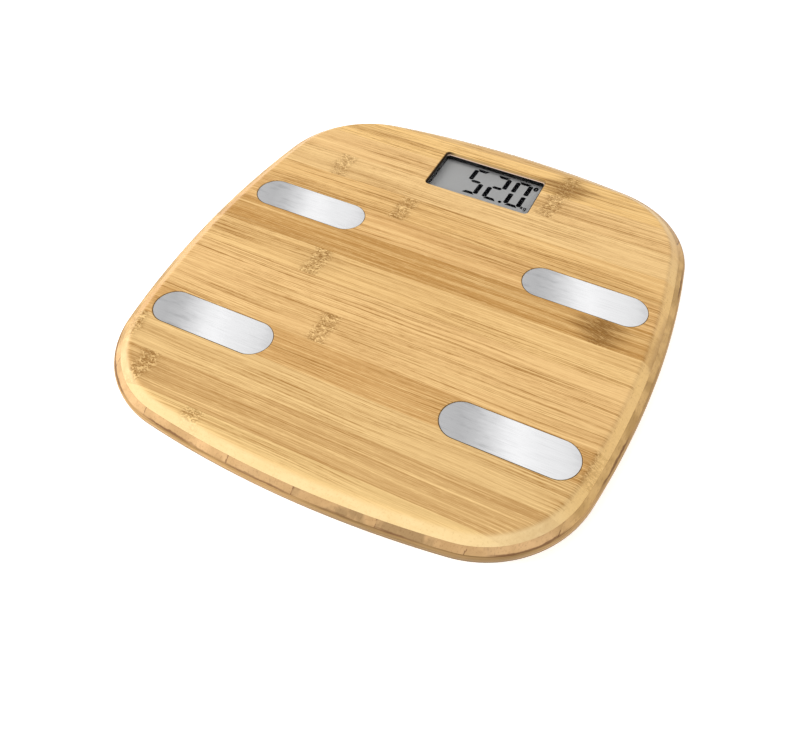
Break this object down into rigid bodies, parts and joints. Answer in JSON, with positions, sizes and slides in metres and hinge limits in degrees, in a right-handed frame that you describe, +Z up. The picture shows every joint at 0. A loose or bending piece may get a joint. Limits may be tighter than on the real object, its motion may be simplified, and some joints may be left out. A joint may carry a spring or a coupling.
{
  "type": "digital bathroom scale",
  "caption": "Square bamboo bathroom scale with bowed sides, let-in steel foot electrodes, a sunk digital display and sprung load-cell feet.",
  "frame": {"origin": "on the floor under the middle of the platform, with the feet at rest", "axes": "+Z up, +Y to the display end, +X to the right of a person who stands on the scale and faces the display"},
  "size_m": [0.3, 0.3, 0.022],
  "materials": {
    "bamboo_face": "satin, sanded and clear lacquered",
    "bamboo_core": "satin, end grain in long strips",
    "bamboo_back": "satin, plain",
    "electrode_steel": "brushed along its length",
    "black_plastic": "fine matt",
    "clear_lens": "polished",
    "lcd_face": "satin grey with black segments",
    "white_plastic": "fine moulded texture",
    "strip_rubber": "matt",
    "circuit_board": "solder mask",
    "capacitor_sleeve": "shrink sleeve",
    "button_plastic": "fine matt",
    "socket_steel": "plated",
    "cell_steel": "rolled and nickel plated",
    "screw_steel": "zinc plated",
    "foot_rubber": "matt, moulded",
    "wire_red": "soft",
    "wire_blue": "soft",
    "wire_white": "soft"
  },
  "bodies": {
    "platform": {"top_ply": "bamboo_face", "core_ply": "bamboo_core", "bottom_ply": "bamboo_back", "electrode_front_left": "electrode_steel", "electrode_front_right": "electrode_steel", "electrode_rear_left": "electrode_steel", "electrode_rear_right": "electrode_steel", "display_bezel": "black_plastic", "display_lens": "clear_lens", "lcd_panel": "lcd_face", "lcd_holder": "white_plastic", "zebra_strip": "strip_rubber", "main_pcb": "circuit_board", "controller_chip": "black_plastic", "supercapacitor": "capacitor_sleeve", "unit_switch": "black_plastic", "usb_port": "socket_steel", "charging_pcb": "circuit_board", "cover_screw_front_left": "screw_steel", "cover_screw_front_right": "screw_steel", "cover_screw_rear_left": "screw_steel", "cover_screw_rear_right": "screw_steel", "electronics_cover": "white_plastic", "foot_bracket_front_left": "white_plastic", "load_cell_front_left": "cell_steel", "foot_screw_front_left_inner": "screw_steel", "foot_screw_front_left_outer": "screw_steel", "foot_bracket_front_right": "white_plastic", "load_cell_front_right": "cell_steel", "foot_screw_front_right_inner": "screw_steel", "foot_screw_front_right_outer": "screw_steel", "foot_bracket_rear_left": "white_plastic", "load_cell_rear_left": "cell_steel", "foot_screw_rear_left_inner": "screw_steel", "foot_screw_rear_left_outer": "screw_steel", "foot_bracket_rear_right": "white_plastic", "load_cell_rear_right": "cell_steel", "foot_screw_rear_right_inner": "screw_steel", "foot_screw_rear_right_outer": "screw_steel", "electrode_wire_front_left": "wire_blue", "load_cell_wire_front_left": "wire_red", "electrode_wire_front_right": "wire_white", "load_cell_wire_front_right": "wire_red", "electrode_wire_rear_left": "wire_blue", "load_cell_wire_rear_left": "wire_red", "electrode_wire_rear_right": "wire_white", "load_cell_wire_rear_right": "wire_red"},
    "foot_front_left": {"foot_cap_front_left": "white_plastic", "foot_pad_front_left": "foot_rubber"},
    "foot_front_right": {"foot_cap_front_right": "white_plastic", "foot_pad_front_right": "foot_rubber"},
    "foot_rear_left": {"foot_cap_rear_left": "white_plastic", "foot_pad_rear_left": "foot_rubber"},
    "foot_rear_right": {"foot_cap_rear_right": "white_plastic", "foot_pad_rear_right": "foot_rubber"},
    "unit_button": {"unit_button": "button_plastic"}
  },
  "joints": [
    {"name": "foot_front_left_press", "type": "slide", "parent": "platform", "child": "foot_front_left", "axis": [0, 0, 1], "range_m": [0, 0.0008], "stiffness_N_per_m": 2500, "springref_m": -0.002},
    {"name": "foot_front_right_press", "type": "slide", "parent": "platform", "child": "foot_front_right", "axis": [0, 0, 1], "range_m": [0, 0.0008], "stiffness_N_per_m": 2500, "springref_m": -0.002},
    {"name": "foot_rear_left_press", "type": "slide", "parent": "platform", "child": "foot_rear_left", "axis": [0, 0, 1], "range_m": [0, 0.0008], "stiffness_N_per_m": 2500, "springref_m": -0.002},
    {"name": "foot_rear_right_press", "type": "slide", "parent": "platform", "child": "foot_rear_right", "axis": [0, 0, 1], "range_m": [0, 0.0008], "stiffness_N_per_m": 2500, "springref_m": -0.002},
    {"name": "unit_button_press", "type": "slide", "parent": "platform", "child": "unit_button", "axis": [0, 0, 1], "range_m": [0, 0.0008], "stiffness_N_per_m": 150, "springref_m": -0.004}
  ]
}
